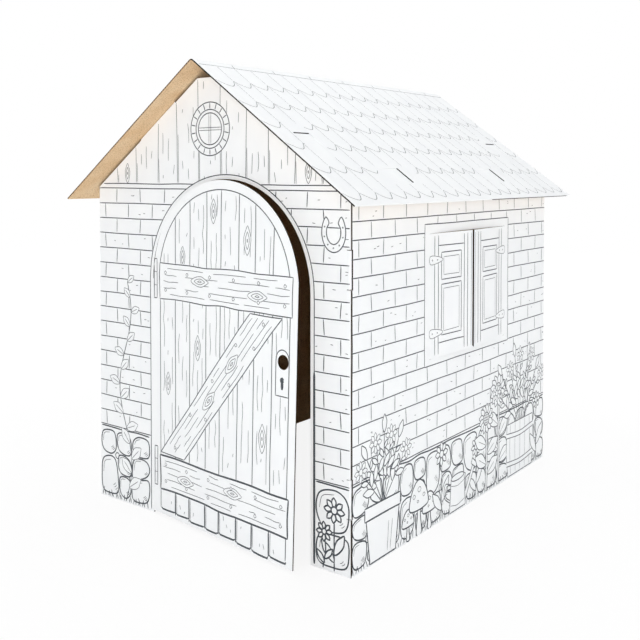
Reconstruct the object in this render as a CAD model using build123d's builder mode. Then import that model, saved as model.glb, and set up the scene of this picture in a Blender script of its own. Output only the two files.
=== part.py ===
"""Cardboard playhouse: two folded wall sheets and a folded roof sheet, locked together by tabs.

The origin is on the ground under the middle of the house. X runs along the front gable from left to
right, Y from front to back, Z up. Sizes are in millimetres.
"""

from build123d import *
from math import atan, cos, radians, sin, tan
import os

# Board and fits
BOARD = 3.0              # single-wall corrugated board
FIT = 0.2                # air between sheets that lie on each other
CUT = 0.4                # width of a knife cut
KERF = 2.0               # gap where a leaf or a tab's tip needs room to move
FOLD_RADIUS = 2.5        # middle of the board, round a fold

# House
WIDTH = 800.0            # outside of the side walls
DEPTH = 990.0            # outside of the gables
RIDGE_HEIGHT = 1100.0    # top faces of the two slopes meet at this height
ROOF_PITCH = 35.7        # degrees
EDGE_DROP = 5.0          # bare wall edges stop this far below the roof board
GABLE_TOP_WIDTH = 80.0   # flat cut under the ridge

# Roof
EAVE_OVERHANG = 52.0     # past the side walls, measured level
GABLE_OVERHANG = 60.0    # past the gables
RIDGE_RADIUS = 9.0       # middle of the board, round the ridge fold

# Flaps that lie under the roof
GABLE_FLAP_DEPTH = 80.0
GABLE_FLAP_LENGTH = 150.0
EAVE_FLAP_DEPTH = 92.0
EAVE_FLAP_LENGTH = 800.0
FLAP_CORNER = 30.0       # cut off the free corners of a flap
FLAP_ROOT = 30.0         # length of wall drawn with each flap's fold

# Tabs cut in the roof, pressed down behind the ends of the flaps
ROOF_TAB_WIDTH = 56.0
ROOF_TAB_LENGTH = 85.0
ROOF_TAB_DIP = 1.2       # the tip sits this far below the roof's surface
GABLE_TAB_TIP = 297.0    # down the slope from the ridge
GABLE_TAB_INSET = 10.0   # from the gable's outer face to the tab's near side
EAVE_TAB_FROM_RIDGE = 455.0
EAVE_TAB_SPACING = 475.0

# Corner flaps and the tabs that lock the sheets at two corners
CORNER_FLAP = 60.0
LOCK_TAB_HEIGHT = 80.0
LOCK_TAB_LENGTH = 40.0
LOCK_TAB_FROM_END = 163.0  # middle of a tab, from the wall's foot or its top
LOCK_TAB_STEP = 6.0      # distance in which the tab slips behind the side wall
LOCK_TAB_ROOT = 20.0     # length of gable drawn with the tab's fold
LOCK_SLOT_IN_WALL = 4.5  # slot past the fold, in the side wall
LOCK_SLOT_IN_FLAP = 9.0  # slot past the outer face, in the corner flap
LOCK_CLEARANCE = 0.5

# Door in the front gable
DOOR_WIDTH = 490.0
DOOR_HINGE = -195.0      # fold line, from the middle of the gable
DOOR_BELOW_RIDGE = 274.0 # from the top of the round arch
DOOR_CLEARANCE = 5.0     # under the leaf
DOOR_ANGLE_FOOT = 6.5    # degrees open, at the foot of the leaf
DOOR_ANGLE_TOP = 3.4     # and at its top, because the card twists
FINGER_HOLE = 32.0
FINGER_HOLE_INSET = 42.0
FINGER_HOLE_DROP = 144.0 # below the level where the arch starts

# Shutters in the right wall
WINDOW_WIDTH = 400.0
WINDOW_HEIGHT = 296.0
WINDOW_BELOW_TOP = 105.0 # from the top of the side wall
WINDOW_OFFSET = 25.0     # behind the middle of the wall
SHUTTER_GAP = 8.0        # between the two leaves
SHUTTER_ANGLE = 3.0      # degrees open

# Worked out from the sizes above
pitch_cos = cos(radians(ROOF_PITCH))
pitch_sin = sin(radians(ROOF_PITCH))
pitch_tan = tan(radians(ROOF_PITCH))
slope_length = (WIDTH / 2 + EAVE_OVERHANG) / pitch_cos
roof_length = DEPTH + 2 * GABLE_OVERHANG
edge_below_ridge = (BOARD + EDGE_DROP) / pitch_cos
wall_top = RIDGE_HEIGHT - WIDTH / 2 * pitch_tan - edge_below_ridge
gable_top = RIDGE_HEIGHT - GABLE_TOP_WIDTH / 2 * pitch_tan - edge_below_ridge
lock_tab_levels = (LOCK_TAB_FROM_END, wall_top - LOCK_TAB_FROM_END)
arch_radius = DOOR_WIDTH / 2
springing = RIDGE_HEIGHT - DOOR_BELOW_RIDGE - arch_radius   # where the arch starts
window_sill = wall_top - WINDOW_BELOW_TOP - WINDOW_HEIGHT
flap_middle = -BOARD - FIT - BOARD / 2   # middle of a roof flap, above the roof's top face
front = -DEPTH / 2
side = WIDTH / 2


def slope_point(hand, down, along, above=0.0):
    """A point given by its distance down the slope, along the house and above the roof's top face."""
    reach = down * pitch_cos + above * pitch_sin
    return (hand * reach, along, RIDGE_HEIGHT - down * pitch_sin + above * pitch_cos)


def slope_plane(hand):
    """The top face of the right (hand 1) or left (hand -1) slope, X down the slope, from the ridge."""
    return Plane(
        origin=(0, 0, RIDGE_HEIGHT),
        x_dir=(hand * pitch_cos, 0, -pitch_sin),
        z_dir=(hand * pitch_sin, 0, pitch_cos),
    )


def roof_tab_places():
    """Tip of each roof tab and the way it points, on the right slope: (down, along), (down, along)."""
    gable_row = DEPTH / 2 - GABLE_TAB_INSET - ROOF_TAB_WIDTH / 2
    places = []
    for along in (-gable_row, gable_row):
        places.append(((GABLE_TAB_TIP, along), (-1, 0)))
    for along in (-EAVE_TAB_SPACING / 2, EAVE_TAB_SPACING / 2):
        places.append(((EAVE_TAB_FROM_RIDGE, along), (0, 1)))
    return places


def wall_blank():
    """The folded sheet that both wall pieces start from: front gable, left wall, flaps and tabs."""
    gable_middle = front + BOARD / 2
    wall_middle = -side + BOARD / 2
    flap_face = -front - BOARD - FIT
    flap_line = flap_face - BOARD / 2

    with BuildPart() as blank:
        # Gable, side wall and corner flap, folded round two corners
        with BuildSketch():
            with BuildLine():
                FilletPolyline(
                    (side, gable_middle),
                    (wall_middle, gable_middle),
                    (wall_middle, flap_line),
                    (-side + CORNER_FLAP, flap_line),
                    radius=FOLD_RADIUS,
                )
            trace(line_width=BOARD)
        extrude(amount=wall_top)

        # Peak of the gable, cut flat under the ridge
        with BuildSketch(Plane.XZ.offset(-front - BOARD)):
            with BuildLine():
                Polyline(
                    (-side + FOLD_RADIUS, wall_top - EDGE_DROP),
                    (side, wall_top - EDGE_DROP),
                    (side, wall_top),
                    (GABLE_TOP_WIDTH / 2, gable_top),
                    (-GABLE_TOP_WIDTH / 2, gable_top),
                    (-side + FOLD_RADIUS, wall_top + FOLD_RADIUS * pitch_tan),
                    close=True,
                )
            make_face()
        extrude(amount=BOARD)

        # Flaps folded back from the two gable slopes
        for hand in (-1, 1):
            middle = GABLE_TAB_TIP - FIT - GABLE_FLAP_LENGTH / 2
            section = Plane(
                origin=slope_point(hand, middle, front),
                x_dir=(0, 1, 0),
                z_dir=(pitch_cos, 0, -hand * pitch_sin),
            )
            with BuildSketch(section):
                with BuildLine():
                    FilletPolyline(
                        (BOARD / 2, flap_middle - FLAP_ROOT),
                        (BOARD / 2, flap_middle),
                        (GABLE_FLAP_DEPTH, flap_middle),
                        radius=FOLD_RADIUS,
                    )
                trace(line_width=BOARD)
            extrude(amount=GABLE_FLAP_LENGTH / 2, both=True)

        # Flap folded in along the top of the side wall
        bend = RIDGE_HEIGHT - (side - BOARD / 2) * pitch_tan + flap_middle / pitch_cos
        with BuildSketch(Plane.XZ):
            with BuildLine():
                FilletPolyline(
                    (wall_middle, bend - FLAP_ROOT),
                    (wall_middle, bend),
                    (wall_middle + EAVE_FLAP_DEPTH * pitch_cos, bend + EAVE_FLAP_DEPTH * pitch_sin),
                    radius=FOLD_RADIUS,
                )
            trace(line_width=BOARD)
        extrude(amount=EAVE_FLAP_LENGTH / 2, both=True)

        # Openings in that flap where the roof's tabs come down, and its slanted ends
        free_edge = (side - BOARD / 2) / pitch_cos - EAVE_FLAP_DEPTH
        flap_plane = slope_plane(-1).offset(flap_middle)
        with BuildSketch(flap_plane):
            for (down, along), way in roof_tab_places():
                if way == (0, 1):
                    with Locations((down, along - ROOF_TAB_LENGTH / 2 - KERF / 2 + FIT)):
                        Rectangle(ROOF_TAB_WIDTH + 2 * KERF, ROOF_TAB_LENGTH + KERF)
            for end in (-1, 1):
                with BuildLine():
                    Polyline(
                        (free_edge - BOARD, end * (EAVE_FLAP_LENGTH / 2 + BOARD)),
                        (free_edge - BOARD, end * (EAVE_FLAP_LENGTH / 2 - FLAP_CORNER)),
                        (free_edge + FLAP_CORNER, end * (EAVE_FLAP_LENGTH / 2 + BOARD)),
                        close=True,
                    )
                make_face()
        extrude(amount=BOARD, both=True, mode=Mode.SUBTRACT)

        # Tabs at the gable's free edge, folded back to slip inside the next sheet's corner
        tab_line = side - BOARD - LOCK_CLEARANCE - BOARD / 2
        relief = LOCK_TAB_HEIGHT + 2 * KERF
        for level in lock_tab_levels:
            with BuildSketch(Plane.XZ.offset(-front - BOARD)):
                with Locations((side, level)):
                    Rectangle(LOCK_TAB_ROOT, relief)
            extrude(amount=BOARD, mode=Mode.SUBTRACT)
            with BuildSketch(Plane.XY.offset(level - LOCK_TAB_HEIGHT / 2)):
                with BuildLine():
                    FilletPolyline(
                        (side - LOCK_TAB_ROOT, gable_middle),
                        (side - BOARD / 2, gable_middle),
                        (tab_line, gable_middle + LOCK_TAB_STEP),
                        (tab_line, gable_middle + LOCK_TAB_STEP + LOCK_TAB_LENGTH),
                        radius=FOLD_RADIUS - LOCK_CLEARANCE,
                    )
                trace(line_width=BOARD)
            extrude(amount=LOCK_TAB_HEIGHT)

            # Slot for the other sheet's tab, across the corner flap's fold
            with BuildSketch(Plane.XY.offset(level - relief / 2)):
                with BuildLine():
                    Polyline(
                        (-side - BOARD, flap_face + BOARD),
                        (-side - BOARD, flap_face - LOCK_SLOT_IN_WALL),
                        (-side + LOCK_SLOT_IN_FLAP, flap_face - LOCK_SLOT_IN_WALL),
                        (-side + LOCK_SLOT_IN_FLAP, flap_face + BOARD),
                        close=True,
                    )
                make_face()
            extrude(amount=relief, mode=Mode.SUBTRACT)
    return blank.part


# Front gable and left wall, with the arched door cut in the gable and left a little open
gable_inside = Plane(origin=(DOOR_HINGE, front + BOARD, 0), x_dir=(1, 0, 0), z_dir=(0, -1, 0))
with BuildPart() as door_leaf:
    # Twisted sheet, from its foot to the top of the arch
    for level, angle in ((DOOR_CLEARANCE, DOOR_ANGLE_FOOT), (springing + arch_radius, DOOR_ANGLE_TOP)):
        turn = radians(angle)
        section = Plane(
            origin=(DOOR_HINGE, front + BOARD, level),
            x_dir=(cos(turn), -sin(turn), 0),
            z_dir=(0, 0, 1),
        )
        with BuildSketch(section):
            Rectangle(DOOR_WIDTH - KERF, BOARD, align=(Align.MIN, Align.MAX))
    loft(ruled=True)

    # Its arched outline and the finger hole
    with BuildSketch(gable_inside):
        with BuildLine():
            Polyline(
                (KERF, springing),
                (-BOARD, springing),
                (-BOARD, 0),
                (DOOR_WIDTH - KERF, 0),
                (DOOR_WIDTH - KERF, springing),
            )
            ThreePointArc(
                (DOOR_WIDTH - KERF, springing),
                (arch_radius, springing + arch_radius - KERF),
                (KERF, springing),
            )
        make_face()
        with Locations((DOOR_WIDTH - KERF - FINGER_HOLE_INSET, springing - FINGER_HOLE_DROP)):
            Circle(FINGER_HOLE / 2, mode=Mode.SUBTRACT)
    extrude(amount=DOOR_WIDTH, both=True, mode=Mode.INTERSECT)

with BuildPart() as front_left_walls:
    add(wall_blank())
    with BuildSketch(gable_inside):
        with BuildLine():
            Line((0, springing), (0, 0))
            Line((0, 0), (DOOR_WIDTH, 0))
            Line((DOOR_WIDTH, 0), (DOOR_WIDTH, springing))
            ThreePointArc(
                (DOOR_WIDTH, springing),
                (arch_radius, springing + arch_radius),
                (0, springing),
            )
        make_face()
    extrude(amount=BOARD, mode=Mode.SUBTRACT)
    add(door_leaf.part)

# Back gable and right wall, with a window closed by two shutters left a little open
shutter_turn = radians(SHUTTER_ANGLE)
shutter_width = (WINDOW_WIDTH - SHUTTER_GAP) / 2
with BuildPart() as back_right_walls:
    add(wall_blank(), rotation=(0, 0, 180))
    with BuildSketch(Plane.YZ.offset(side - BOARD)):
        with Locations((WINDOW_OFFSET, window_sill + WINDOW_HEIGHT / 2)):
            Rectangle(WINDOW_WIDTH, WINDOW_HEIGHT)
    extrude(amount=BOARD, mode=Mode.SUBTRACT)
    for way in (1, -1):
        shutter_plane = Plane(
            origin=(side - BOARD, WINDOW_OFFSET - way * WINDOW_WIDTH / 2, window_sill + CUT),
            x_dir=(sin(shutter_turn), way * cos(shutter_turn), 0),
            z_dir=(way * cos(shutter_turn), -sin(shutter_turn), 0),
        )
        with BuildSketch(shutter_plane):
            Rectangle(shutter_width, WINDOW_HEIGHT - 2 * CUT, align=Align.MIN)
        extrude(amount=way * BOARD)

# Roof, folded at the ridge, with its lock tabs cut on three sides and pressed down
tab_turn = atan(ROOF_TAB_DIP / ROOF_TAB_LENGTH)
with BuildPart() as roof:
    middle_height = RIDGE_HEIGHT - BOARD / 2 / pitch_cos
    eave = slope_point(1, slope_length, 0, -BOARD / 2)
    with BuildSketch(Plane.XZ):
        with BuildLine():
            FilletPolyline(
                (-eave[0], eave[2]),
                (0, middle_height),
                (eave[0], eave[2]),
                radius=RIDGE_RADIUS,
            )
        trace(line_width=BOARD)
    extrude(amount=roof_length / 2, both=True)

    for hand in (-1, 1):
        slope = slope_plane(hand)
        for (down, along), (way_down, way_along) in roof_tab_places():
            hinge = (down - way_down * ROOF_TAB_LENGTH, along - way_along * ROOF_TAB_LENGTH)
            window_middle = (
                down - way_down * (ROOF_TAB_LENGTH - KERF) / 2,
                along - way_along * (ROOF_TAB_LENGTH - KERF) / 2,
            )
            window_length = ROOF_TAB_LENGTH + KERF
            window_width = ROOF_TAB_WIDTH + 2 * CUT
            across = window_length if way_down else window_width
            lengthways = window_width if way_down else window_length
            with BuildSketch(slope):
                with Locations(window_middle):
                    Rectangle(across, lengthways)
            extrude(amount=BOARD, both=True, mode=Mode.SUBTRACT)

            pointing = slope.x_dir * way_down + slope.y_dir * way_along
            tab_plane = Plane(
                origin=slope.from_local_coords(hinge),
                x_dir=pointing,
                z_dir=pointing.cross(slope.z_dir),
            )
            tip = (ROOF_TAB_LENGTH * cos(tab_turn), -ROOF_TAB_LENGTH * sin(tab_turn))
            with BuildSketch(tab_plane):
                with BuildLine():
                    Polyline(
                        (-BOARD, 0),
                        (0, 0),
                        tip,
                        (tip[0] - BOARD * sin(tab_turn), tip[1] - BOARD * cos(tab_turn)),
                        (-BOARD * tan(tab_turn / 2), -BOARD),
                        (-BOARD, -BOARD),
                        close=True,
                    )
                make_face()
            extrude(amount=ROOF_TAB_WIDTH / 2, both=True)

os.makedirs("parts", exist_ok=True)
front_left_walls.part.label = "front_left_walls"
back_right_walls.part.label = "back_right_walls"
roof.part.label = "roof"
export_step(front_left_walls.part, "parts/front_left_walls.step")
export_step(back_right_walls.part, "parts/back_right_walls.step")
export_step(roof.part, "parts/roof.step")
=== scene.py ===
"""Looks of a folded cardboard playhouse: white-faced board, cut edges and a drawing to colour in."""

import math
import random

import bpy
from mathutils import Matrix, Vector
from mathutils.bvhtree import BVHTree
from mathutils.geometry import interpolate_bezier


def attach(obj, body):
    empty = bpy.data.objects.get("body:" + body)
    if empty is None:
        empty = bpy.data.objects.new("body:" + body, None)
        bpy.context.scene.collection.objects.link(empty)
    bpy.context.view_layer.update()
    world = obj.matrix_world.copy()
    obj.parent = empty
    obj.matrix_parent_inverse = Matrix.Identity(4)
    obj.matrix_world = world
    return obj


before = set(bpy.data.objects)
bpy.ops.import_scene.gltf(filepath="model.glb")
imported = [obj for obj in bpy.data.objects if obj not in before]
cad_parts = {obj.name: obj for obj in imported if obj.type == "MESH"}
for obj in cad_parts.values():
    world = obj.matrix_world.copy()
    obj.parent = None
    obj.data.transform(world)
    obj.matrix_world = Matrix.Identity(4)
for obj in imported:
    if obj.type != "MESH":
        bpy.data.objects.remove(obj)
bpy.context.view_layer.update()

# Wall sheets
# Two die-cut sheets of single-wall corrugated board, each folded into a gable and a side wall. The
# outside liner is bleached white to be drawn on, the inside is bare brown kraft paper, and the cut
# edges show the hollow flutes between the two.
MM = 0.001
BOARD = 3.0 * MM
FLUTE_PITCH = 6.35 * MM  # B flute, from crest to crest
FIBRE = 1.2 * MM  # paper fibres, drawn a little coarse so that they show
CLOUD = 60.0 * MM  # cloudy formation of the paper web
RIB_RELIEF = 0.25  # height of the ribs over the flutes, beside the fibres'
PAPER_IOR = 1.5
TURN = 2 * math.pi
WALL_FLUTES = (1, 1, 0)  # across the upright flutes of gables and side walls
WHITE, BROWN, CUT, SHADED = range(4)  # the material slots of a dressed sheet
UNDER_FACE = 0.01 * MM  # a test ray starts this far under its face
LINER_DEPTH = 1.2 * BOARD  # and meets the other liner within this depth, but not from a cut edge
FACING = 0.5  # least part of a face's normal along the way that it looks
FRONT_FROM, BACK_FROM, SIDE_FROM = -0.4, 0.48, 0.39  # where the front, the back and the sides begin
SLIT_CORNER = (0.375, 0.488)  # the slits beside the lock tabs lie further out than this
SLIT_HEIGHTS = (0.1, 0.72)  # and between these heights
LEVEL = 0.9  # least upright part of a level face's normal


def linear(colour):
    """The linear values of an sRGB hex colour."""
    values = [int(colour[start:start + 2], 16) / 255 for start in (1, 3, 5)]
    return [v / 12.92 if v <= 0.04045 else ((v + 0.055) / 1.055) ** 2.4 for v in values] + [1.0]


def add_node(material, kind, settings, links):
    """Adds a node, sets its properties or sockets, and links its sockets from other nodes' outputs."""
    made = material.node_tree.nodes.new("ShaderNode" + kind)
    for name, value in settings.items():
        if hasattr(made, str(name)):
            setattr(made, name, value)
        else:
            made.inputs[name].default_value = value
    for name, source in links.items():
        material.node_tree.links.new(source, made.inputs[name])
    return made


def ramp_colours(ramp, low, high, dark, light):
    """Sets a colour ramp to go from the dark colour at low to the light colour at high."""
    for stop, place, colour in zip(ramp.color_ramp.elements, (low, high), (dark, light)):
        stop.position = place
        stop.color = linear(colour)


def new_finish(name, roughness, gloss):
    """A plain paper finish to begin with: its material, its shader and the place on the object."""
    finish = bpy.data.materials.new(name)
    finish.use_nodes = True
    shader = finish.node_tree.nodes["Principled BSDF"]
    shader.inputs["Roughness"].default_value = roughness
    shader.inputs["IOR"].default_value = PAPER_IOR
    shader.inputs["Specular IOR Level"].default_value = gloss
    return finish, shader, add_node(finish, "TexCoord", {}, {}).outputs["Object"]


def flute_wave(finish, place, across_flutes):
    """A wave that runs across the flutes, with a crest over each."""
    steps = [axis * TURN / FLUTE_PITCH for axis in across_flutes]
    ribs = add_node(finish, "VectorMath", {"operation": "DOT_PRODUCT", 1: steps}, {0: place})
    wave = add_node(finish, "Math", {"operation": "SINE"}, {0: ribs.outputs["Value"]})
    return wave.outputs["Value"]


def mottle(finish, place, size, dark, light, detail, low=0.3, high=0.7):
    """Clouds of this size on a finish: their heights, and the tones that they give it."""
    cloud = add_node(finish, "TexNoise", {"Scale": 1 / size, "Detail": detail}, {"Vector": place})
    tone = add_node(finish, "ValToRGB", {}, {"Fac": cloud.outputs["Fac"]})
    ramp_colours(tone, low, high, dark, light)
    return cloud.outputs["Fac"], tone.outputs["Color"]


def white_liner(name, across_flutes):
    """Bleached liner: matt, nearly even white, with the flutes just telling through as ribs."""
    paper, shader, place = new_finish(name, roughness=0.7, gloss=0.3)
    tone = mottle(paper, place, CLOUD, "#f4f6f8", "#f8fafb", detail=4.0)[1]
    fibre = add_node(paper, "TexNoise", {"Scale": 1 / FIBRE, "Detail": 2.0}, {"Vector": place})
    wave = flute_wave(paper, place, across_flutes)
    heights = {0: wave, 2: fibre.outputs["Fac"]}
    relief = add_node(paper, "Math", {"operation": "MULTIPLY_ADD", 1: RIB_RELIEF}, heights)
    ridges = {"Height": relief.outputs["Value"]}
    bump = add_node(paper, "Bump", {"Strength": 0.2, "Distance": 0.08 * MM}, ridges)
    paper.node_tree.links.new(tone, shader.inputs["Base Color"])
    paper.node_tree.links.new(bump.outputs["Normal"], shader.inputs["Normal"])
    return paper


def kraft_liner():
    """Bare kraft liner: warm brown, with longer fibres and darker flecks of bark."""
    paper, shader, place = new_finish("kraft_liner", roughness=0.85, gloss=0.25)
    tone = mottle(paper, place, CLOUD, "#e0bd92", "#edd2ad", detail=6.0)[1]
    fleck, shade = mottle(paper, place, 2 * FIBRE, "#a58a70", "#ffffff", detail=3.0, low=0.25, high=0.5)
    tones = {6: tone, 7: shade}
    mixed = add_node(paper, "Mix", {"data_type": "RGBA", "blend_type": "MULTIPLY", "Factor": 0.8}, tones)
    bump = add_node(paper, "Bump", {"Strength": 0.3, "Distance": 0.1 * MM}, {"Height": fleck})
    paper.node_tree.links.new(mixed.outputs[2], shader.inputs["Base Color"])
    paper.node_tree.links.new(bump.outputs["Normal"], shader.inputs["Normal"])
    return paper


def cut_edge(name, across_flutes, mouth, paper_end):
    """Die-cut edge: brown paper ends and, by turns, the openings of the flutes, painted dark as the shade in
    their hollows.
    """
    edge, shader, place = new_finish(name, roughness=0.95, gloss=0.2)
    tone = add_node(edge, "ValToRGB", {}, {"Fac": flute_wave(edge, place, across_flutes)})
    ramp_colours(tone, 0.0, 0.6, mouth, paper_end)
    edge.node_tree.links.new(tone.outputs["Color"], shader.inputs["Base Color"])
    return edge


def surface_of(sheet):
    """The faces of a sheet, for rays to meet."""
    mesh = sheet.data
    return BVHTree.FromPolygons([v.co for v in mesh.vertices], [p.vertices[:] for p in mesh.polygons])


def dress(sheet, faces_out, finishes):
    """Gives each face of a folded sheet its liner, or the cut edge where no face lies a board behind it."""
    sheet.data.materials.clear()
    for finish in finishes:
        sheet.data.materials.append(finish)
    surface = surface_of(sheet)
    for face in sheet.data.polygons:
        start = face.center - face.normal * UNDER_FACE
        if surface.ray_cast(start, -face.normal, LINER_DEPTH)[3] is None:
            face.material_index = CUT
        else:
            face.material_index = WHITE if faces_out(face.center, face.normal) else BROWN


def wall_faces_out(centre, normal):
    """Whether a liner of the front and left sheet is its white one, flaps and tabs included."""
    front_side = normal.y < -FACING and centre.y < FRONT_FROM
    left_side = normal.x < -FACING and centre.x < -SIDE_FROM
    flap_top = normal.z > FACING
    corner_flap = normal.y > FACING and centre.y > BACK_FROM
    lock_tab = normal.x > FACING and centre.x > SIDE_FROM
    return front_side or left_side or flap_top or corner_flap or lock_tab


wall_liner = white_liner("white_liner_walls", WALL_FLUTES)
inner_liner = kraft_liner()
# the walls' cut edges are a darker copy of the roof's: painted shade on the paper ends as well as in the
# flute openings
wall_edge = cut_edge("cut_edge_walls", WALL_FLUTES, "#120b07", "#3a2818")
for name, angle in (("front_left_walls", 0.0), ("back_right_walls", math.pi)):
    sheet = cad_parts[name]
    turn = Matrix.Rotation(angle, 3, "Z")
    dress(
        sheet,
        lambda centre, normal: wall_faces_out(turn @ centre, turn @ normal),
        (wall_liner, inner_liner, wall_edge),
    )
    for face in sheet.data.polygons:
        at_corner = abs(face.center.x) > SLIT_CORNER[0] and abs(face.center.y) > SLIT_CORNER[1]
        beside_tab = SLIT_HEIGHTS[0] < face.center.z < SLIT_HEIGHTS[1] and abs(face.normal.z) > LEVEL
        if face.material_index == CUT and at_corner and beside_tab:
            face.material_index = WHITE  # the slits beside the lock tabs stay closed

# Roof sheet
# One sheet of the same board with its flutes along the ridge, folded once. White on top, brown below,
# with its lock tabs pressed down behind the flaps of the walls. Only the tips of the tabs gape. Their cut
# tips and the cut ends of the right slope take a shaded copy of the cut edge: painted shade, the darkest
# edges.
EAVE_EDGE = 0.45  # edges further out than this are closed by the white liner
ROOF_END = 0.55  # edges further along than this are the roof's ends
TABS_AT_GABLES = 0.4  # tabs further along than this lie across the ridge, the others along it
ROOF_FLUTES = (1, 0, 0)  # across the roof's flutes
roof_liner = white_liner("white_liner_roof", ROOF_FLUTES)
roof_edge = cut_edge("cut_edge_roof", ROOF_FLUTES, "#4a3625", "#9a7b59")
# a shaded copy of the cut edge: painted shade for the tab tips and the right slope's ends
shaded_edge = cut_edge("cut_edge_shaded", ROOF_FLUTES, "#0b0705", "#24180f")
roof_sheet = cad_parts["roof"]
dress(roof_sheet, lambda centre, normal: normal.z > 0, (roof_liner, inner_liner, roof_edge, shaded_edge))
for face in roof_sheet.data.polygons:
    if face.material_index != CUT:
        continue
    along = abs(face.center.y)
    at_tip = (abs(face.normal.y) > FACING) == (along < TABS_AT_GABLES)
    right_end = along > ROOF_END and face.center.x > 0
    # the tab tips and the right slope's ends take the shaded copy: painted shade
    if abs(face.center.x) < EAVE_EDGE and (right_end or (along < ROOF_END and at_tip)):
        face.material_index = SHADED
    elif abs(face.center.x) > EAVE_EDGE or along < ROOF_END:
        face.material_index = WHITE

# Drawing on the front gable
# Grey line art, printed on the white liner for children to colour in: brickwork and rubble below,
# planks and a round attic window above. Each pen line is a thin flat strip of ink on the board.
LINE = 2.4  # pen widths, in millimetres as all of the drawing
FINE = 1.4
BOLD = 3.5  # for what stands near the ground
GABLE_PEN = 1.6  # for the planks in the gable
JAMB_PEN = 5.6  # for the right jamb of the door
INK_LIFT = 0.12  # middle of the ink above the board
INK_FLATNESS = 0.03  # thickness of an ink line in proportion to its width
PEN_STEP = 4.0  # between the points of a pen line
PEN_POINT = 0.6  # width of a line at its ends, in proportion
LINE_WANDER = 0.7  # how far a hand-drawn line strays
WANDER_STEP = 70.0  # between the places where a long line strays
LONGEST_CHORD = 25.0  # between the points that are kept of a line
FLAT_ENOUGH = 0.06  # how far off its chord a point is before it is kept
EDGE_HALVINGS = 4  # to find where a line goes under a shape
GABLE_WIDTH = 800.0
WALL_LENGTH = 990.0
HALF_WIDTH, HALF_DEPTH = GABLE_WIDTH / 2, WALL_LENGTH / 2
UP = (0, 0, 1)
WALL_TOP = 802.7
GABLE_TOP = 1061.4
ROOF_PITCH = math.radians(35.7)
EDGE_MARGIN = 3.0  # left white along the edges of a panel
DOOR_MIDDLE = 450.0  # from the gable's left edge
DOOR_SPRINGING = 581.0
TRIM_RADIUS = 255.0  # drawn line round the doorway
COURSE, COURSES = 38.3, 16
BRICK = 88.0
BRICK_END = 14.0  # no joint or speck is nearer to the right edge
PLINTH = 178.0
LEDGE = 11.0  # from the top of the stones to the first course
STONE = 62.0  # usual width of a stone
GABLE_PLANK = 72.0
MOULDING = 10.5  # height of the moulding under the planks
MOULDING_INSET = 20.0  # of its upper line, at the eaves
hand = random.Random(11)


def printing_ink():
    """Offset ink: matt dark grey, a little uneven where the liner takes it up."""
    ink, shader, place = new_finish("printing_ink", roughness=0.6, gloss=0.5)
    tone = mottle(ink, place, 4 * FIBRE, "#30373e", "#495057", detail=2.0)[1]
    ink.node_tree.links.new(tone, shader.inputs["Base Color"])
    return ink


def stray(amount=LINE_WANDER):
    """A small unevenness of the hand."""
    return hand.uniform(-amount, amount)


def between(start, end, part):
    """The point that lies this part of the way from start to end."""
    return (start[0] + (end[0] - start[0]) * part, start[1] + (end[1] - start[1]) * part)


def shaky(points, across=LINE_WANDER, up=LINE_WANDER):
    """The same points as an unsteady hand sets them."""
    return [(u + stray(across), v + stray(up)) for u, v in points]


def on_oval(centre, half_width, half_height, angle):
    """The point at this angle of an oval."""
    return (centre[0] + half_width * math.cos(angle), centre[1] + half_height * math.sin(angle))


def half_round(centre, half_width, rise, steps):
    """Points over an arch, from its left foot to its right one."""
    angles = [math.pi - math.pi * step / steps for step in range(steps + 1)]
    return [on_oval(centre, half_width, rise, angle) for angle in angles]


def box(left, right, low, high):
    """The corners of an upright rectangle."""
    return [(left, low), (right, low), (right, high), (left, high)]


def line_through(points, closed):
    """Closely spaced points on a smooth line through the given ones."""
    knots = [Vector(point) for point in points]
    count = len(knots)
    track = []
    for place in range(count if closed else count - 1):
        start, end = knots[place], knots[(place + 1) % count]
        before = knots[place - 1] if closed or place > 0 else start
        after = knots[(place + 2) % count] if closed or place + 2 < count else end
        span = (end - start).length
        leave = (end - before) * span / (span + (start - before).length)
        arrive = (after - start) * span / (span + (after - end).length)
        steps = math.ceil(span / PEN_STEP)
        track += interpolate_bezier(start, start + leave / 3, end - arrive / 3, end, steps + 1)[:-1]
    return track + [knots[0] if closed else knots[-1]]


def new_drawing():
    """An empty drawing: pen strokes, and the areas of shapes that hide what was drawn before them."""
    return {"strokes": [], "covers": []}


def pen(drawing, points, width=LINE, closed=False):
    """One smooth pen stroke through points given from the panel's lower left corner."""
    drawing["strokes"].append((line_through(points, closed), width, closed, len(drawing["covers"])))


def rule(drawing, start, end, width=LINE):
    """A long line drawn by hand: nearly straight, straying a little on its way."""
    steps = max(1, round(math.dist(start, end) / WANDER_STEP))
    pen(drawing, shaky([between(start, end, step / steps) for step in range(steps + 1)]), width)


def mask(drawing, points, sharp=True):
    """Leaves an area white, over what was drawn before."""
    outline = [Vector(point) for point in points] if sharp else line_through(points, True)
    drawing["covers"].append((outline, box_of(outline)))


def shape(drawing, points, width=LINE, sharp=False):
    """A closed outline that hides what was drawn before it."""
    mask(drawing, points, sharp)
    if not sharp:
        pen(drawing, points, width, True)
        return
    for start, end in zip(points, points[1:] + points[:1]):
        rule(drawing, start, end, width)


def box_of(points):
    """The left, lowest, right and highest reach of some points."""
    across, up = [point.x for point in points], [point.y for point in points]
    return min(across), min(up), max(across), max(up)


def inside(point, outlines):
    """Whether a point lies inside one of some closed outlines."""
    for outline in outlines:
        crossings = 0
        for start, end in zip(outline, outline[1:] + outline[:1]):
            if (start.y > point.y) != (end.y > point.y):
                rise = (point.y - start.y) / (end.y - start.y)
                crossings += point.x < start.x + (end.x - start.x) * rise
        if crossings % 2:
            return True
    return False


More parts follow.
